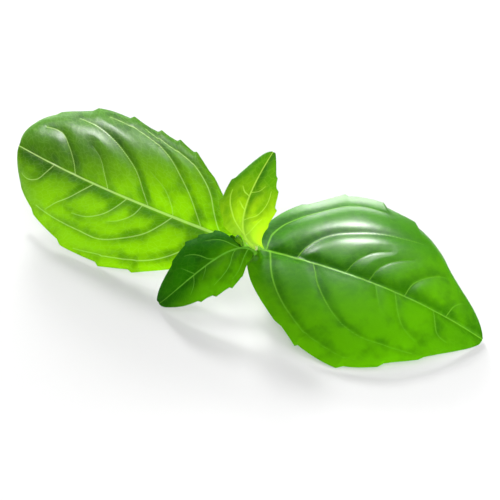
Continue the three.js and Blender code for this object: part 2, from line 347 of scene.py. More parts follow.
# %% Young leaf that stands up
add_leaf(
    "leaf_upright", YOUNG,
    midrib=[[0.8, 4, 13.8], [-6, 5.3, 18.1], [2.6, 12.4, 30.2], [5.6, 16.5, 32.9]],
    faces=[0, -0.77, 0.64],
    left=[0.8, 0.4, 0.5, 2.7, 4.1, 5.7, 5.4, 3.7, 2, 0.3],
    right=[0.8, 1, 3, 5.1, 7.1, 6.5, 4.3, 2.3, 0.9, 0.3],
    lean_left=[4.8, -5.9, -1], lean_right=[-5.3, -0.2, 0.8],
    fold=[10, 8, 4], curl_left=[30, 30, 30], curl_right=[30, 30, 30],
    notches_left=[0.43, 0.64, 0.8],
    notches_right=[0.35, 0.51, 0.68, 0.78],
    puff=(0.4, 0.4),
    veins_left=[
        (1, [(0.12, 0), (0.2, 0.3), (0.34, 0.56), (0.5, 0.68), (0.66, 0.74)]),
        (0.7, [(0.38, 0), (0.43, 0.2), (0.5, 0.36)]),
        (0.8, [(0.52, 0), (0.57, 0.24), (0.65, 0.42)]),
    ],
    veins_right=[
        (0.9, [(0.12, 0), (0.17, 0.3), (0.25, 0.52), (0.36, 0.68)]),
        (1, [(0.28, 0), (0.32, 0.22), (0.38, 0.48), (0.52, 0.68), (0.64, 0.74)]),
        (0.8, [(0.56, 0), (0.6, 0.26), (0.67, 0.48)]),
    ],
)

# %% The two leaves of the bud
add_leaf(
    "bud_leaf_left", TINY,
    midrib=[[-2.3, 4.7, 13.4], [-3, 4.8, 14.3], [-3.9, 4.9, 15.3], [-4.6, 5, 16.1]],
    faces=[0.6, -0.6, 0.5],
    left=[0.3, 0.5, 0.7, 0.8, 0.7, 0.5, 0.2],
    right=[0.3, 0.3, 0.4, 0.5, 0.5, 0.4, 0.2],
)
add_leaf(
    "bud_leaf_right", TINY,
    midrib=[[-2, 4.1, 14.1], [-2.2, 4.1, 15], [-2.7, 4, 16], [-3.1, 3.9, 16.7]],
    faces=[-0.3, -0.7, 0.65],
    left=[0.3, 0.4, 0.7, 0.9, 1, 0.8, 0.3],
    right=[0.3, 0.3, 0.5, 0.6, 0.6, 0.4, 0.2],
)

# %% [markdown]
# ## Veins shape the blade
# On the upper face each side vein lies at the bottom of a furrow and stands a little proud of it,
# and the blade between the furrows is puffed up like a quilt. Below, the same veins stand out as
# ribs. A displacement texture could show the furrows, but not follow each vein, so the distance
# from the nearest vein is worked out for every spot of the blade, and the relief comes from that
# distance. It carries a sign, plus on one side of the vein and minus on the other, because the
# finish paints shade along one side of the veins.

# %% Distance from the nearest vein
VEIN_STEPS = 28  # straight steps that stand for one vein
VEIN_FADE = 0.6  # how much of its strength a vein loses on its way to the margin
FADE_GROWTH = 1.5  # how late it loses that
FAR_AWAY = 50.0  # a distance from the veins that no spot of a blade has, in mm


def vein_course(leaf, side, spots):
    """Points along a vein on the flat blade, in mm."""
    s, share = through_all(spots, np.linspace(0, 1, VEIN_STEPS + 1)).T
    wide = half_width(leaf["left" if side > 0 else "right"], s)
    return np.stack([s * leaf["length"], side * share * wide], -1)


def nearest_vein(leaf, flat):
    """Signed distance from the nearest side vein, in mm, and how strong the vein is there."""
    distance = np.full(len(flat), FAR_AWAY)
    strength = np.zeros(len(flat))
    for side, veins in ((1, leaf["veins_left"]), (-1, leaf["veins_right"])):
        for full, spots in veins:
            course = vein_course(leaf, side, spots)
            for k, (start, end) in enumerate(zip(course, course[1:])):
                step = end - start
                share = np.clip((flat - start) @ step / (step @ step), 0, 1)
                off = flat - start - share[:, None] * step
                far = np.hypot(off[:, 0], off[:, 1])
                nearer = far < np.abs(distance)
                passed = (k + share) / VEIN_STEPS
                sign = np.where(step[0] * off[:, 1] - step[1] * off[:, 0] < 0, -1, 1)
                distance = np.where(nearer, far * sign, distance)
                strength = np.where(nearer, full * (1 - VEIN_FADE * passed**FADE_GROWTH), strength)
    return distance, strength


for name, leaf in LEAVES.items():
    vein_end = vein_course(leaf, 1, leaf["veins_left"][0][1])[-1]
    print(f"{name}: its first left vein ends {vein_end[0]:.1f} mm up and {vein_end[1]:.1f} mm out")

# %% Relief of the two faces
BLADE_THICKNESS = 0.32
EDGE_THINNING = 0.4  # of that thickness is lost at the margin
STALK_LENGTH = 3.5  # over this length the stalk thins into the blade
RIB_TAPER = 0.6  # of its width a midrib loses on its way to the tip
UNDER_RIB_EXTRA = 0.3  # how much wider the midrib is below the blade than above it
UNDER_VEIN_EXTRA = 0.15  # the same for a side vein
VALLEY_WIDTH = 0.8  # of the soft valley round a vein, where the blade isn't puffed up
VALLEY_GROWTH = 1.6  # how much wider it gets for each mm of puff
RIB_VALLEY = 0.6  # depth of the midrib's valley as a share of a side vein's
MARGIN_POWER = 10  # how close to the margin it rolls down and thins
GROWN_FROM = 0.1  # station from which the relief has its full height
TIP_FADE = 0.06  # share of the length over which it fades out at the tip
EVEN_PLUMP = 0.5  # a spot this plump is neither raised nor lowered
PUFF_POWER = 5  # how close to the margin the blade is still puffed up
CREASE_POWER = 8  # and how close its furrows come

# Heights, as shares of how far the blade is puffed up.
CREASE_DEPTH = 0.28  # of the sharp furrow that a vein lies in
FINE_DEPTH = 0.026  # of the furrows over the fine cross veins
ROLL_DEPTH = 0.45  # of the margin that rolls down
LINE_HEIGHT = 0.14  # of a side vein above the bottom of its furrow
RIB_LINE = 1.5  # of the midrib, in heights of a side vein
UNDER_VEIN_HEIGHT = 0.45  # of a side vein below the lower face

CREASE_WIDTH = 0.55
FAINTEST = 0.05  # a furrow gets narrower as its vein gets weaker, down to this strength
CROSS_VEIN_GAP = 1.6  # between the fine veins that bridge two side veins
CROSS_VEIN_STRETCH = 2.6  # how much longer than wide their fields are
HALVES_APART = 0.1  # makes the fields of the left and the right half differ
PILLOW_STEEPNESS = 3
VEIN_COS, VEIN_SIN = 0.6, 0.8  # of the angle at which side veins leave the midrib


def hump(distance, width):
    return np.exp(-((distance / width) ** 2))


def along_and_between(flat):
    """Flat places turned so that x follows the side veins and y runs from one to the next."""
    x, y = flat[:, 0], np.abs(flat[:, 1])
    with_veins, between = VEIN_COS * x + VEIN_SIN * y, VEIN_SIN * x - VEIN_COS * y
    return np.stack([with_veins, between, np.sign(flat[:, 1])], -1)


def cross_vein_pillows(flat):
    """From 0 on the fine cross veins to about 1 between them."""
    field = [CROSS_VEIN_GAP * CROSS_VEIN_STRETCH, CROSS_VEIN_GAP, HALVES_APART]
    nearest = [noise.voronoi(spot)[0][:2] for spot in along_and_between(flat) / field]
    gaps = [second - first for first, second in nearest]
    return np.array([1 - math.exp(-PILLOW_STEEPNESS * gap) for gap in gaps])


def leaf_relief(leaf, s, t, flat):
    """Height of the upper face and depth of the lower one against the layout, in mm."""
    reach = np.abs(t)
    grown = np.clip(s / GROWN_FROM, 0, 1) * np.clip((1 - s) / TIP_FADE, 0, 1)
    distance, strength = nearest_vein(leaf, flat)
    across = flat[:, 1]
    size = by_side(t, *leaf["puff"])
    rib = leaf["rib_width"]
    spread = VALLEY_WIDTH + VALLEY_GROWTH * size
    off_vein = 1 - strength * hump(distance, spread)
    off_rib = 1 - RIB_VALLEY * hump(across, spread)
    plump = off_vein * off_rib
    puffed = size * (plump - EVEN_PLUMP) * (1 - reach**PUFF_POWER) * grown
    off_line = np.minimum(np.abs(distance) / np.maximum(strength, FAINTEST), np.abs(across))
    furrow = np.exp(-off_line / CREASE_WIDTH)
    creased = -CREASE_DEPTH * size * furrow * grown * (1 - reach**CREASE_POWER)
    finely = FINE_DEPTH * size * cross_vein_pillows(flat) * off_vein * grown
    rolled = -ROLL_DEPTH * size * reach**MARGIN_POWER * grown
    waves = puffed + creased + finely + rolled
    vein_line = strength * hump(distance, leaf["vein_width"]) * grown
    rib_line = hump(across, rib * (1 - RIB_TAPER * s))
    upper = waves + LINE_HEIGHT * size * (vein_line + RIB_LINE * rib_line * grown)
    stalk = leaf["stalk"] * np.exp(-((np.maximum(s, 0) * leaf["length"] / STALK_LENGTH) ** 2))
    under_rib = (stalk + leaf["rib_depth"] * (1 - s)) * hump(across, rib + UNDER_RIB_EXTRA)
    under_line = hump(distance, leaf["vein_width"] + UNDER_VEIN_EXTRA)
    under_vein = UNDER_VEIN_HEIGHT * size * strength * under_line * grown
    edge = 1 - EDGE_THINNING * reach**MARGIN_POWER
    lower = BLADE_THICKNESS * edge + under_rib + under_vein - waves
    return upper, lower, distance, strength, plump


in_valley = 1 - hump(np.array([0, 0.5, 1, 2]), VALLEY_WIDTH)
print("puff that is left 0, 0.5, 1 and 2 mm from a vein:", in_valley.round(2))

# %% [markdown]
# ## From a flat blank to a leaf
# A leaf starts as a flat square grid, with stations along it and columns across. Solidify
# gives the blank its second face and its rim, so that it is a closed body from the start.
# Only then is each of its points taken to its place by the law. Edit-mode tools alone could
# not put a vein where it grows. What the finish needs later is kept on the points as
# attributes with plain names: where on the blade a point lies, how far and on which side its
# nearest vein is, how strong that vein is, and how plump the blade is.

# %% Making one leaf
LOWEST_UPPER = 0.2 * MM  # an upper face can't be pressed flatter onto the table than this
SMOOTH_BELOW = math.radians(60)  # edges that bend less than this are shaded smooth


def deselect_everything():
    bpy.ops.object.select_all(action="DESELECT")


def select_only(piece):
    deselect_everything()
    piece.select_set(True)
    bpy.context.view_layer.objects.active = piece


def flat_blank(name, stations, columns):
    """A closed flat sheet one unit square, its upper face at z = 0."""
    deselect_everything()
    bpy.ops.mesh.primitive_grid_add(x_subdivisions=stations, y_subdivisions=columns, size=1)
    blank = bpy.context.object
    blank.name = blank.data.name = name
    wall = blank.modifiers.new("second face", "SOLIDIFY")
    wall.thickness = 0.1
    wall.offset = -1
    bpy.ops.object.modifier_apply(modifier=wall.name)
    return blank


def keep_on_points(mesh, **numbers):
    """Keeps each named number on the points of the upper face and on the ones below them."""
    for name, values in numbers.items():
        attribute = mesh.attributes.new(name, "FLOAT", "POINT")
        attribute.data.foreach_set("value", np.tile(values, 2).astype(np.float32))


def make_leaf(name, stations, columns, root):
    """A finished leaf; root is how far its stalk reaches into the stem, in mm."""
    leaf = LEAVES[name]
    piece = flat_blank(name + "_finished", stations, columns)
    mesh = piece.data
    co = np.empty(len(mesh.vertices) * 3)
    mesh.vertices.foreach_get("co", co)
    x, y = co.reshape(2, -1, 3)[0, :, :2].T
    start = -root / leaf["length"]
    s = start + (x + 0.5) * (1 - start)
    t = np.clip(y * 2, -1, 1)
    place, normal, flat = blade_spot(leaf, s, t)
    upper, lower, distance, strength, plump = leaf_relief(leaf, s, t, flat)
    faces = in_frame([place + normal * upper[:, None], place - normal * lower[:, None]])
    for face, lowest in zip(faces, (LOWEST_UPPER, 0)):
        face[:, 2] = np.maximum(face[:, 2], lowest)
    mesh.vertices.foreach_set("co", faces.ravel())
    keep_on_points(mesh, station=s, across=flat[:, 1], column=t, plump=plump)
    keep_on_points(mesh, vein_gap=np.abs(distance), vein_side=distance, vein_strength=strength)
    mesh.update()
    return piece


def slots_by_face(piece, upper_material, lower_material, columns_of_upper):
    """The first slot is for the upper face and the rim, the second for the lower face."""
    piece.data.materials.append(upper_material)
    piece.data.materials.append(lower_material)
    slots = np.zeros(len(piece.data.polygons), np.int32)
    slots[columns_of_upper:2 * columns_of_upper] = 1
    piece.data.polygons.foreach_set("material_index", slots)
    piece.data.update()


# Stations, columns, and how far the stalk reaches into the stem, in mm.
GRIDS = {
    "leaf_left": (320, 150, 1.4), "leaf_right": (300, 160, 1.4),
    "leaf_front": (200, 96, 0.9), "leaf_upright": (180, 96, 0.9),
    "bud_leaf_left": (60, 32, 0.6), "bud_leaf_right": (60, 32, 0.6),
}
leaves = {}
for name, (stations, columns, root) in GRIDS.items():
    leaves[name] = make_leaf(name, stations, columns, root)
    print(f"{name}: {len(leaves[name].data.polygons)} faces")

# %% [markdown]
# ## Shader maths
# A finish is easier to read as sums than as a web of nodes. The small class below stands for
# one output of a node and lets Python's own signs add the Math nodes. Everything else is
# added by one method that takes the node's type, its settings and its inputs.

# %% Writing a finish as sums
class Output:
    """One output of a shader node, for use in sums."""

    def __init__(self, finish, socket):
        self.finish = finish
        self.socket = socket

    def __add__(self, other):
        return self.finish.maths("ADD", self, other)

    def __sub__(self, other):
        return self.finish.maths("SUBTRACT", self, other)

    def __rsub__(self, other):
        return self.finish.maths("SUBTRACT", other, self)

    def __mul__(self, other):
        return self.finish.maths("MULTIPLY", self, other)

    def __truediv__(self, other):
        return self.finish.maths("DIVIDE", self, other)

    def __abs__(self):
        return self.finish.maths("ABSOLUTE", self)

    __radd__ = __add__
    __rmul__ = __mul__


print("an output can be added, subtracted, multiplied, divided and made positive")

# %% A finish that is being written
class Finish:
    """A material that is being written."""

    def __init__(self, name):
        self.material = bpy.data.materials.new(name)
        self.material.use_nodes = True
        self.nodes = self.material.node_tree.nodes
        self.links = self.material.node_tree.links
        self.nodes.clear()

    def node(self, kind, settings, inputs, output):
        """Adds a node, and returns its output of that name or number."""
        node = self.nodes.new(kind)
        for key, value in settings.items():
            setattr(node, key, value)
        for key, value in inputs.items():
            if isinstance(value, Output):
                self.links.new(value.socket, node.inputs[key])
            else:
                node.inputs[key].default_value = value
        return Output(self, node.outputs[output])

    def maths(self, operation, *values):
        return self.node("ShaderNodeMath", {"operation": operation}, dict(enumerate(values)), 0)

    def larger(self, one, other):
        return self.maths("MAXIMUM", one, other)

    def rise(self, value, low, high):
        """From 0 to 1, smoothly, as value goes from low to high."""
        inputs = {"Value": value, "From Min": low, "From Max": high}
        smoothly = {"interpolation_type": "SMOOTHSTEP"}
        return self.node("ShaderNodeMapRange", smoothly, inputs, "Result")

    def fall(self, value, low, high):
        """From 1 to 0, smoothly, as value goes from low to high."""
        return 1 - self.rise(value, low, high)

    def band(self, value, starts, ends):
        """From 0 to 1 as value passes the starts, and back to 0 as it passes the ends."""
        return self.rise(value, *starts) * self.fall(value, *ends)

    def blend(self, share, colour, other):
        """The one colour, going over to the other as share goes from 0 to 1."""
        inputs = {0: share, 6: colour, 7: other}
        return self.node("ShaderNodeMix", {"data_type": "RGBA"}, inputs, 2)

    def noise(self, places, scale, detail):
        """Soft noise around one half."""
        inputs = {"Vector": places, "Scale": scale, "Detail": detail}
        return self.node("ShaderNodeTexNoise", {}, inputs, "Fac")

    def bump(self, strength, distance, height):
        inputs = {"Strength": strength, "Distance": distance, "Height": height}
        return self.node("ShaderNodeBump", {}, inputs, "Normal")

    def kept(self, name):
        """The number that is kept under that name on the points."""
        return self.node("ShaderNodeAttribute", {"attribute_name": name}, {}, "Fac")

    def parts(self, vector):
        split = self.nodes.new("ShaderNodeSeparateXYZ")
        self.links.new(vector.socket, split.inputs[0])
        return [Output(self, socket) for socket in split.outputs]

    def point(self, x, y, z):
        return self.node("ShaderNodeCombineXYZ", {}, {0: x, 1: y, 2: z}, 0)

    def surface(self, inputs):
        return self.node("ShaderNodeBsdfPrincipled", {}, inputs, 0)

    def with_glow(self, share, colour, surface):
        """The surface, of which a share lets light of that colour through from behind."""
        glow = self.node("ShaderNodeBsdfTranslucent", {}, {"Color": colour}, 0)
        return self.node("ShaderNodeMixShader", {}, {0: share, 1: surface, 2: glow}, 0)

    def done(self, shader):
        end = self.nodes.new("ShaderNodeOutputMaterial")
        self.links.new(shader.socket, end.inputs["Surface"])
        return self.material


print("a finish can add:", ", ".join(way for way in vars(Finish) if not way.startswith("_")))

# %% [markdown]
# ## The finish of a leaf
# Basil leaves are glossy above and matt below. Light goes through them, so a leaf with the light
# behind it glows yellower than it looks by the light it reflects. One shader does both: a green
# surface, mixed with a translucent one that carries the glow. The blade lets most light through
# where it is plump, between the veins, and least beside them, and beside them its green is darkened
# as painted shade, most of all in strips along one side of the veins and of the midrib. Each finish
# also goes over from a lively tone to a deep one across the blade, in a direction of its own:
# partly the leaf's own uneven green, partly painted shade where the blade turns from the light, and
# some tips are darkened as painted shade too. The gloss could be the surface's own, as it is on the
# young leaves, but the wax of a broad leaf is uneven, so there it is a coat whose weight fades out
# near the stalk, beside the midrib, and at the margin or on the right half.

# %% Lines of the veins
RIB_LINE_WIDE = 1.15  # half width of the midrib's line at its base, in widths of the rib
RIB_LINE_LOST = 0.75  # how much of that it has lost at the tip
RIB_LINE_EDGE = (0.45, 1.0)  # shares of its half width, over which it fades out
VEIN_LINE_EDGE = (0.3, 1.1)  # the same for a side vein, in widths of that vein
STRONG_VEIN = (0.05, 0.7)  # strengths over which a side vein's line sets in
STALK_ENDS = (0.0, 0.05)  # stations over which the stalk's colour ends
NET_ALONG = 2.6  # how much longer than wide the meshes of the fine net are
NET_LINE = 0.1  # width of the fine net's lines, as a share of a mesh


def leaf_places(f, looks):
    """Where on the blade a spot lies, as it was kept on the points, and its mm from the stem."""
    spot = {name: f.kept(name) for name in ("station", "across", "column", "plump")}
    return dict(spot, along=spot["station"] * looks["length"])


def vein_lines(f, looks, spot):
    """1 on the midrib, the side veins and the stalk, and 0 on the blade."""
    rib_reach = looks["rib_width"] * (RIB_LINE_WIDE - RIB_LINE_LOST * spot["station"])
    rib = f.fall(abs(spot["across"]) / rib_reach, *RIB_LINE_EDGE)
    vein = f.fall(f.kept("vein_gap") / looks["vein_width"], *VEIN_LINE_EDGE)
    vein = vein * f.rise(f.kept("vein_strength"), *STRONG_VEIN)
    stalk = f.fall(spot["station"], *STALK_ENDS)
    return f.larger(f.larger(rib, vein * looks["vein_shows"]), stalk)


def fine_net(f, looks, spot):
    """1 on the finest veins, whose net is drawn out the way the side veins run."""
    along, aside = spot["along"], abs(spot["across"])
    with_veins = (along * VEIN_COS + aside * VEIN_SIN) / NET_ALONG
    places = f.point(with_veins, along * VEIN_SIN - aside * VEIN_COS, spot["across"])
    inputs = {"Vector": places, "Scale": looks["net_scale"]}
    cell = f.node("ShaderNodeTexVoronoi", {"feature": "DISTANCE_TO_EDGE"}, inputs, "Distance")
    return f.fall(cell, 0.0, NET_LINE)


for name, leaf in LEAVES.items():
    print(f"{name}: midrib drawn {2 * RIB_LINE_WIDE * leaf['rib_width']:.2f} mm wide at its base")

# %% Painted shade beside the veins
VEIN_SHADE_STARTS = (0.0, 0.7)  # mm from a side vein, over which its strip of painted shade sets in
VEIN_SHADE_ENDS = (0.4, 3.4)  # and over which it fades out
VEIN_SHADE_OFF_RIB = (0.6, 3.0)  # mm from the midrib, over which it sets in too
RIB_SHADE_STARTS = (0.1, 0.9)  # mm from the midrib, over which the midrib's own sets in
RIB_SHADE_ENDS = (0.8, 5.5)  # and over which it fades out


def painted_shade_strips(f, looks, spot):
    """Painted shade: strips along one side of the side veins, and along one side of the midrib."""
    off_vein = f.kept("vein_side") * looks["painted_shade_side"]
    vein_painted_shade = f.band(off_vein, VEIN_SHADE_STARTS, VEIN_SHADE_ENDS)
    vein_painted_shade = vein_painted_shade * f.kept("vein_strength")
    vein_painted_shade = vein_painted_shade * f.rise(abs(spot["across"]), *VEIN_SHADE_OFF_RIB)
    off_rib = spot["across"] * looks["painted_shade_rib"]
    return vein_painted_shade, f.band(off_rib, RIB_SHADE_STARTS, RIB_SHADE_ENDS)


print(f"dark strips reach {VEIN_SHADE_ENDS[1]} mm from a side vein "
      f"and {RIB_SHADE_ENDS[1]} mm from the midrib")

# %% Tone, fullness and wax
CLOUD_SCALE = 0.16  # of the broad patches of tone, on places in mm
MOTTLE_SCALE = 0.5  # of the small patches
PLAIN_FULLNESS = 0.42  # how full a spot looks; the shares below change that
PLUMP_SHARE = 0.5
CLOUD_SHARE = 1.8
MOTTLE_SHARE = 0.7
# how much the painted shade beside the veins and beside the midrib takes from how full a spot looks
VEIN_SHADE_SHARE = 0.4
RIB_SHADE_SHARE = 0.5
TONE_CLOUD = 0.5  # how far the broad patches shift the border of the deep tone
TIP_SHADE_FROM = (0.7, 0.95)  # stations over which the painted shade of a tip sets in
MARGIN_FROM = (0.8, 0.97)  # columns over which a matt margin sets in
RIGHT_HALF_ENDS = (-0.03, 0.05)  # and over which a matt right half ends
PALE_UNTIL = 0.45  # station up to which a pale base reaches


def matt_places(f, looks, spot, rib_painted_shade):
    """1 where there is no wax: near the stalk, at the margin, on the right and by the midrib."""
    at_base, base_start, base_end = looks["matt_base"]
    matt = f.fall(spot["station"], base_start, base_end) * at_base
    matt = f.larger(matt, f.rise(abs(spot["column"]), *MARGIN_FROM) * looks["matt_edge"])
    matt = f.larger(matt, f.fall(spot["column"], *RIGHT_HALF_ENDS) * looks["matt_right"])
    return f.larger(matt, rib_painted_shade)


def leaf_pattern(f, looks):
    """Masks from 0 to 1 that the upper and the under finish of a leaf share."""
    spot = leaf_places(f, looks)
    flat = f.point(spot["along"], spot["across"], 0.0)
    cloud = f.noise(flat, CLOUD_SCALE, detail=3.0) - 0.5
    mottle = f.noise(flat, MOTTLE_SCALE, detail=2.0) - 0.5
    vein_painted_shade, rib_painted_shade = painted_shade_strips(f, looks, spot)
    # How full a spot looks: fuller where it is plump, less so in the painted shade beside veins and
    # midrib, changed at random by the patches.
    fullness = PLAIN_FULLNESS + spot["plump"] * PLUMP_SHARE
    fullness = fullness - vein_painted_shade * VEIN_SHADE_SHARE - rib_painted_shade * RIB_SHADE_SHARE
    fullness = fullness + cloud * CLOUD_SHARE + mottle * MOTTLE_SHARE
    # The deep tone follows station and column: partly the leaf's own uneven green, partly painted
    # shade where the blade turns from the light.
    along_weight, across_weight, low, high = looks["tone"]
    tone = spot["station"] * along_weight + spot["column"] * across_weight + cloud * TONE_CLOUD
    # a tip darkened on top of that is painted shade
    deep = f.larger(f.rise(tone, low, high), f.rise(spot["station"], *TIP_SHADE_FROM) * looks["painted_shade_tip"])
    return dict(
        line=vein_lines(f, looks, spot), net=fine_net(f, looks, spot),
        plump=f.rise(fullness, 0.0, 1.0), deep=deep,
        base=f.fall(spot["station"], 0.0, PALE_UNTIL),
        matt=matt_places(f, looks, spot, rib_painted_shade),
    )


print(f"broad patches are about {1 / CLOUD_SCALE:.0f} mm across, small ones {1 / MOTTLE_SCALE:.0f}")

# %% Shader of a leaf
SKIN_BUMP = 0.05 * MM  # height of the skin's grain
SKIN_STRENGTH = 0.25  # how clearly it shows
NET_SHOWS = 0.09  # how much of a vein's colour the fine net has
LINE_SHOWS = 0.9  # and how much the lines of the veins have
NET_RELIEF = 0.6  # depth of the fine net in that grain, as a share of its height
LINE_RELIEF = 0.6  # and how far the lines of the veins stand out of it
LINE_ROUGHER = 0.12  # how much rougher a vein is than the blade
THIN_PASSES = 0.55  # share of its light that a blade passes where it isn't plump


def leaf_finish(name, looks):
    f = Finish(name)
    masks = leaf_pattern(f, looks)
    line, net, plump, deep = masks["line"], masks["net"], masks["plump"], masks["deep"]
    # Where a spot isn't plump, as beside the veins, its green goes over to the shade green: painted
    # shade, mixed with the random patches.
    lively = f.blend(plump, looks["shade"], looks["blade"])
    deeper = f.blend(plump, looks["deep_shade"], looks["deep_blade"])
    blade = f.blend(deep, lively, deeper)
    blade = f.blend(net * NET_SHOWS, blade, looks["vein"])
    blade = f.blend(masks["base"] * looks["pale_base"], blade, looks["vein"])
    colour = f.blend(line * LINE_SHOWS, blade, looks["vein"])
    relief = f.bump(SKIN_STRENGTH, SKIN_BUMP, (1 - net) * NET_RELIEF + line * LINE_RELIEF)
    surface = f.surface({
        "Base Color": colour,
        "Roughness": looks["roughness"] + line * LINE_ROUGHER,
        "Specular IOR Level": looks["gloss"],
        "Coat Weight": (1 - masks["matt"]) * looks["wax"] if looks["wax"] else 0.0,
        "Coat Roughness": looks["wax_roughness"],
        "Normal": relief,
    })
    full_share = THIN_PASSES + plump * (1 - THIN_PASSES)
    through = looks["through"] * full_share * (1 - deep * looks["dims"])
    through = through * (1 - line * looks["vein_stops"])
    return f.done(f.with_glow(through, looks["glow"], surface))

# %% Upper and under finish
GLOW_BELOW = (0.86, 1.0, 0.45, 1)  # light that has only passed the pale under skin
UNDER_SKIN = (0.30, 0.42, 0.22, 1)  # the grey-green bloom of a leaf's lower face
BLOOM_SHARE = 0.35
COMMON_LOOKS = dict(
    net_scale=0.75, vein_stops=0.2, dims=0.6, painted_shade_tip=0, painted_shade_rib=0, pale_base=0,
    matt_edge=0, matt_right=0, matt_base=(0, 0, 1), wax=0, wax_roughness=0.3,
)
UNDER_LOOKS = dict(roughness=0.55, gloss=0.2, wax=0, through=0.85, dims=0.1, glow=GLOW_BELOW)


def paler(colour):
    return tuple(c + (p - c) * BLOOM_SHARE for c, p in zip(colour, UNDER_SKIN))


def leaf_finishes(name, looks):
    """Upper and under finish of one leaf: below it is paler and matt, and passes more light."""
    leaf = LEAVES[name]
    sizes = {key: leaf[key] for key in ("length", "rib_width", "vein_width")}
    looks = dict(COMMON_LOOKS, **sizes, **looks)
    under = dict(looks, **UNDER_LOOKS)
    for key in ("blade", "shade", "deep_blade", "deep_shade", "vein"):
        under[key] = paler(looks[key])
    return leaf_finish(name + "_upper", looks), leaf_finish(name + "_under", under)


print("a deep green seen from below:", [round(c, 2) for c in paler((0.02, 0.14, 0.0, 1))[:3]])

# %% [markdown]
# A leaf has four greens: `blade` where it is plump, `shade` where it isn't, which by the veins is
# painted shade, and `deep_blade` and `deep_shade` for the deep tone. `tone` holds how strongly that
# tone follows station and column, and the two sums between which it sets in; the deep tone is
# partly the leaf's own uneven green and partly painted shade. The side and rib keys of the painted
# shade tell on which side of the veins and of the midrib its dark strip lies, and its tip key how
# much it darkens the tip. `matt_base` holds how matt the blade is near the stalk, and the stations
# between which that ends. `glow` is the colour of the light that comes through, `through` is its
# share, `dims` is what the deep tone takes of it, and `vein_stops` what the veins take.

# %% Colours of each leaf
BUD_LOOKS = dict(tone=(1.0, 0.0, 0.5, 1.1), vein_shows=0.6, painted_shade_side=0)
# The broad leaves, the young leaves and the bud leaves are pairs of one age: the darker colours of
# the right, the front and the left bud leaf, veins too, are painted shade.
LOOKS = {
    "leaf_left": dict(
        tone=(1.2, -0.65, 0.5, 1.1), vein_shows=0.85, painted_shade_side=-1, painted_shade_rib=1, painted_shade_tip=0.7,
        matt_edge=0.85, matt_base=(0.88, 0.28, 0.62), wax=0.5, wax_roughness=0.33,
        blade=(0.13, 0.36, 0.0005, 1), shade=(0.03, 0.21, 0.001, 1),
        deep_blade=(0.025, 0.14, 0.003, 1), deep_shade=(0.012, 0.08, 0.005, 1),
        vein=(0.7, 1.0, 0.27, 1), glow=(0.47, 0.95, 0.003, 1),
        through=0.51, vein_stops=0.35, roughness=0.45, gloss=0.04,
    ),
    # darker greens than the left leaf: painted shade
    "leaf_right": dict(
        tone=(-1.0, 0.4, -0.72, -0.35), vein_shows=0.9, painted_shade_side=1, painted_shade_rib=1, painted_shade_tip=0.8,
        matt_right=0.95, matt_base=(0.95, 0.1, 0.26), wax=0.8, wax_roughness=0.29,
        blade=(0.065, 0.25, 0.0005, 1), shade=(0.022, 0.14, 0.001, 1),
        deep_blade=(0.025, 0.16, 0.001, 1), deep_shade=(0.012, 0.1, 0.001, 1),
        vein=(0.2, 0.52, 0.03, 1), glow=(0.33, 0.9, 0.002, 1),
        through=0.55, roughness=0.45, gloss=0.04,
    ),
    # darker greens than the upright leaf: painted shade
    "leaf_front": dict(
        tone=(1.3, -0.6, 0.2, 0.85), vein_shows=0.9, painted_shade_side=0,
        blade=(0.07, 0.22, 0.0005, 1), shade=(0.02, 0.12, 0.0005, 1),
        deep_blade=(0.01, 0.108, 0.0005, 1), deep_shade=(0.006, 0.07, 0.0005, 1),
        vein=(0.14, 0.42, 0.03, 1), glow=(0.22, 0.8, 0.002, 1),
        through=0.27, roughness=0.5, gloss=0.03,
    ),
    "leaf_upright": dict(
        tone=(1.0, 0.0, 0.2, 0.85), vein_shows=0.95, painted_shade_side=1, painted_shade_rib=-2.4,
        dims=0.75, pale_base=0.6,
        blade=(0.33, 0.55, 0.006, 1), shade=(0.1, 0.36, 0.001, 1),
        deep_blade=(0.04, 0.26, 0.001, 1), deep_shade=(0.015, 0.17, 0.001, 1),
        vein=(0.5, 0.8, 0.08, 1), glow=(0.6, 0.92, 0.006, 1),
        through=0.43, roughness=0.4, gloss=0.12,
    ),
    # darker greens than the right bud leaf: painted shade
    "bud_leaf_left": dict(
        BUD_LOOKS,
        blade=(0.01, 0.08, 0.001, 1), shade=(0.008, 0.07, 0.001, 1),
        deep_blade=(0.008, 0.07, 0.001, 1), deep_shade=(0.006, 0.06, 0.001, 1),
        vein=(0.02, 0.12, 0.005, 1), glow=(0.3, 0.8, 0.005, 1),
        through=0.15, roughness=0.5, gloss=0.06,
    ),
    "bud_leaf_right": dict(
        BUD_LOOKS,
        blade=(0.06, 0.25, 0.002, 1), shade=(0.03, 0.16, 0.001, 1),
        deep_blade=(0.04, 0.19, 0.001, 1), deep_shade=(0.02, 0.12, 0.001, 1),
        vein=(0.1, 0.32, 0.02, 1), glow=(0.45, 0.85, 0.01, 1),
        through=0.4, roughness=0.4, gloss=0.2,
    ),
}
FINISHES = {name: leaf_finishes(name, looks) for name, looks in LOOKS.items()}
print("leaf finishes:", ", ".join(upper.name for upper, under in FINISHES.values()))

# %% Leaves in their places
for name, piece in leaves.items():
    stations, columns, _ = GRIDS[name]
    slots_by_face(piece, *FINISHES[name], stations * columns)
    select_only(piece)
    bpy.ops.object.shade_smooth_by_angle(angle=SMOOTH_BELOW)
    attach(piece, "root")
    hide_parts(name)

# %% [markdown]
# ## The stem
# The stem of the mint family is four-sided. This one is a little hollow beside its corners
# and thins towards the bud. The easiest way to draw such a bar along a bend is a curve with a
# profile: the profile is the section, and the curve gives it its way and its thickness. It is
# then turned into a mesh, so that it can be cut at an angle.

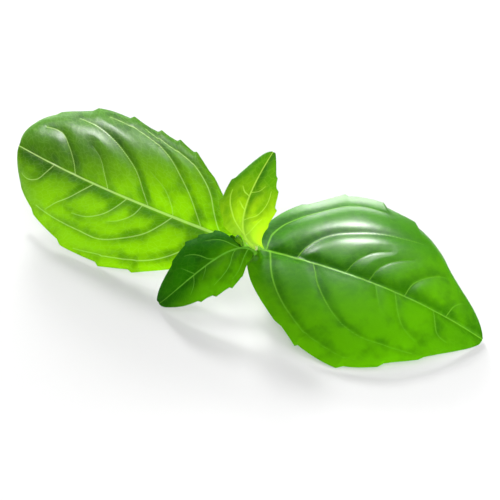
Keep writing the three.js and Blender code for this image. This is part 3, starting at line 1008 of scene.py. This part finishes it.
# %% Stem
STEM_WAY = [
    (18.8, 26.4, 1.6), (12.5, 20.3, 2.4), (6, 13.3, 6.2), (0.9, 6.7, 10.9), (1.2, 5.2, 12.4),
    (1.3, 3.7, 13.1),
]
STEM_RADIUS = [1.4, 1.35, 1.25, 1, 0.75, 0.55]
STEM_SIDES = 64
STEM_STEPS = 24  # from each point of its way to the next
CORNER = 0.07  # how far the corners stand out of a round stem, as a share
HOLLOW = 0.02  # how deep the hollows beside them are, as a share


def stem_profile():
    """The section of the stem: a rounded square, hollow beside its corners, one unit in radius."""
    deselect_everything()
    bpy.ops.mesh.primitive_circle_add(vertices=STEM_SIDES, radius=1, fill_type="NOTHING")
    profile = bpy.context.object
    for vertex in profile.data.vertices:
        turn = math.atan2(vertex.co.y, vertex.co.x)
        vertex.co *= 1 + CORNER * math.cos(4 * turn) + HOLLOW * math.cos(8 * turn)
    bpy.ops.object.convert(target="CURVE")
    return bpy.context.object


def make_stem():
    profile = stem_profile()
    deselect_everything()
    bpy.ops.curve.primitive_bezier_curve_add()
    stem = bpy.context.object
    stem.name = stem.data.name = "stem_finished"
    spline = stem.data.splines[0]
    spline.bezier_points.add(len(STEM_WAY) - 2)
    for bead, place, radius in zip(spline.bezier_points, STEM_WAY, STEM_RADIUS):
        bead.co = in_frame(place)
        bead.radius = radius * MM
        bead.handle_left_type = bead.handle_right_type = "AUTO"
    stem.data.resolution_u = STEM_STEPS
    stem.data.bevel_mode = "OBJECT"
    stem.data.bevel_object = profile
    stem.data.use_fill_caps = True
    bpy.ops.object.convert(target="MESH")
    bpy.data.objects.remove(profile)
    return stem


stem = make_stem()
print("stem faces:", len(stem.data.polygons))

# %% The slanted cut
CUT_INSIDE = 1.3  # mm from the end of the stem's way to the middle of the cut
CUT_SLANT = 0.5  # how far the cut is turned away from straight across
CUT_OVERHANG = 0.3  # how far its face also looks down, as a share of that
FLAT_ON_CUT = 0.999  # a face whose normal follows the cut's this closely is part of it

stem_end, stem_next = in_frame(STEM_WAY[:2])
stem_way = unit(stem_next - stem_end)
cut_middle = stem_end + stem_way * CUT_INSIDE * MM
cut_facing = unit(stem_way + np.array([-stem_way[1], stem_way[0], CUT_OVERHANG]) * CUT_SLANT)
select_only(stem)
bpy.ops.object.mode_set(mode="EDIT")
bpy.ops.mesh.select_all(action="SELECT")
bpy.ops.mesh.bisect(plane_co=cut_middle, plane_no=cut_facing, use_fill=True, clear_inner=True)
bpy.ops.object.mode_set(mode="OBJECT")
cut_normal = Vector(cut_facing)
cut_faces = [face for face in stem.data.polygons if abs(face.normal @ cut_normal) > FLAT_ON_CUT]
print("faces on the cut:", len(cut_faces))

# %% [markdown]
# The skin of the stem is pale green and turns to cream at the node. Like the leaves it lets
# some light through. The cut shows a wet, whitish pith with a darker ring of vessels in it.

# %% Stem skin
STEM_GREEN = (0.22, 0.46, 0.03, 1)
STEM_PALE = (0.4, 0.66, 0.08, 1)
NODE_CREAM = (0.95, 1.0, 0.55, 1)
STEM_GLOW = (0.8, 0.95, 0.25, 1)
CREAM_FROM, CREAM_TO = 7 * MM, 11.5 * MM  # heights between which the skin turns to cream
STEM_PASSES = 0.45  # share of the light that goes through
STEM_GRAIN = 900.0  # grains in a metre
GRAIN_HEIGHT = 0.1 * MM


def stem_finish():
    f = Finish("stem_skin")
    places = f.node("ShaderNodeTexCoord", {}, {}, "Object")
    height = f.parts(places)[2]
    mottle = f.noise(places, STEM_GRAIN, detail=4.0)
    colour = f.blend(mottle, STEM_GREEN, STEM_PALE)
    colour = f.blend(f.rise(height, CREAM_FROM, CREAM_TO), colour, NODE_CREAM)
    relief = f.bump(strength=0.4, distance=GRAIN_HEIGHT, height=mottle)
    skin = {"Base Color": colour, "Roughness": 0.42 + mottle * 0.1, "Specular IOR Level": 0.4}
    return f.done(f.with_glow(STEM_PASSES, STEM_GLOW, f.surface(dict(skin, Normal=relief))))


print(f"the stem turns to cream from {CREAM_FROM / MM:.1f} to {CREAM_TO / MM:.1f} mm up")

# %% Face of the cut
PITH = (0.62, 0.72, 0.38, 1)
VESSELS = (0.24, 0.42, 0.1, 1)
RING_INSIDE = (0.55, 0.8)  # mm from the middle, over which the ring sets in
RING_OUTSIDE = (0.9, 1.15)  # and over which it ends
CUT_GRAIN = 4000.0  # grains in a metre
CUT_GRAIN_HEIGHT = 0.05 * MM
RING_SHOWS, GRAIN_SHOWS = 0.7, 0.3  # how much of the vessels' colour each brings


def cut_finish():
    f = Finish("stem_cut")
    places = f.node("ShaderNodeTexCoord", {}, {}, "Object")
    inputs = {0: places, 1: tuple(cut_middle)}
    from_middle = f.node("ShaderNodeVectorMath", {"operation": "DISTANCE"}, inputs, "Value") / MM
    ring = f.band(from_middle, RING_INSIDE, RING_OUTSIDE)
    grain = f.noise(places, CUT_GRAIN, detail=3.0)
    colour = f.blend(ring * RING_SHOWS + grain * GRAIN_SHOWS, PITH, VESSELS)
    relief = f.bump(strength=0.5, distance=CUT_GRAIN_HEIGHT, height=grain)
    pith = {"Base Color": colour, "Roughness": 0.3 + grain * 0.15, "Normal": relief}
    return f.done(f.surface(pith))


print(f"the ring of vessels is {RING_OUTSIDE[0] - RING_INSIDE[1]:.1f} to "
      f"{RING_OUTSIDE[1] - RING_INSIDE[0]:.1f} mm wide")

# %% The stem in its place
STEM_SMOOTH_BELOW = math.radians(50)

stem.data.materials.clear()
stem.data.materials.append(stem_finish())
stem.data.materials.append(cut_finish())
for face in cut_faces:
    face.material_index = 1
bpy.ops.object.shade_smooth_by_angle(angle=STEM_SMOOTH_BELOW)
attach(stem, "root")
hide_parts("stem")
print("stem finishes:", ", ".join(finish.name for finish in stem.data.materials))

# %% [markdown]
# ## Table and light
# The table is smooth and white, and glows a little like a light table, so that it stays white
# right up to the leaves. Two soft lamps stand behind the sprig, a little to the left: the low
# one makes the leaves glow and throws long shadows towards the camera, and the high one
# lightens their far ends. A wide weak lamp in front keeps the near sides readable, and a
# small card brings out the node. The gloss of a leaf could come from the same lamps, but it
# has to lie on the crests of the blades and nowhere else, so it comes from three bright
# sheets that only glossy faces show and that light nothing else.

# %% Table
TABLE_WIDTH = 6  # in metres, so that the camera doesn't see its edge
TABLE_GREY = (0.44, 0.44, 0.44, 1)
TABLE_GLOW = 0.26
WHITE = (1, 1, 1, 1)


def table_finish():
    f = Finish("white_table")
    return f.done(f.surface({
        "Base Color": TABLE_GREY, "Roughness": 0.2, "Specular IOR Level": 0.3,
        "Emission Color": WHITE, "Emission Strength": TABLE_GLOW,
    }))


deselect_everything()
bpy.ops.mesh.primitive_plane_add(size=TABLE_WIDTH, location=(0, 0, 0))
table = bpy.context.object
table.name = "table"
table.data.materials.append(table_finish())
print("table:", [round(side, 1) for side in table.dimensions], "m")

# %% Lamps that light the sprig
def soft_lamp(name, turned, height, distance, size, watts):
    """A rectangular lamp that looks at the sprig, turned from straight behind and raised."""
    turned, height = math.radians(turned), math.radians(height)
    way = np.array([math.sin(turned), math.cos(turned), 0]) * math.cos(height)
    way[2] = math.sin(height)
    deselect_everything()
    bpy.ops.object.light_add(type="AREA", location=way * distance)
    lamp = bpy.context.object
    lamp.name = name
    lamp.data.shape = "RECTANGLE"
    lamp.data.size, lamp.data.size_y = size
    lamp.data.energy = watts
    lamp.rotation_euler = lamp.location.to_track_quat("Z", "Y").to_euler()
    return lamp


# Name, degrees turned and raised, distance and size in metres, watts.
LAMPS = [
    ("low_back_lamp", -11, 18, 1.2, (0.26, 0.26), 19),
    ("high_back_lamp", -14, 33, 1.2, (0.16, 0.16), 15),
    ("fill_lamp", -153, 66, 1.3, (1, 1), 7),
    ("front_card", 120, 20, 0.25, (0.1, 0.1), 0.35),
]
for settings in LAMPS:
    lamp = soft_lamp(*settings)
    lamp.visible_glossy = False
    print(f"{lamp.name}: {lamp.data.energy:.2f} W")

# %% Sheets that only gloss shows
SHEETS = [
    ("sheen_sheet", 3, 64, 1.2, (0.32, 0.34), 25),
    ("side_sheen_sheet", -50, 50, 1.2, (0.3, 0.36), 21),
    ("back_wall", -4, 12, 1.2, (0.9, 0.5), 11),
]
for settings in SHEETS:
    sheet = soft_lamp(*settings)
    sheet.visible_diffuse = False
    sheet.visible_transmission = False
    print(f"{sheet.name}: {sheet.data.energy:.2f} W")

# %% The room around
ROOM_LIGHT = 0.3

world = bpy.data.worlds.new("white_room")
bpy.context.scene.world = world
world.use_nodes = True
background = world.node_tree.nodes["Background"]
background.inputs["Color"].default_value = WHITE
background.inputs["Strength"].default_value = ROOM_LIGHT
world.cycles_visibility.glossy = False
bpy.context.scene.view_settings.view_transform = "Standard"
lamps = [thing.name for thing in bpy.context.scene.objects if thing.type == "LIGHT"]
print("lamps in all:", len(lamps))
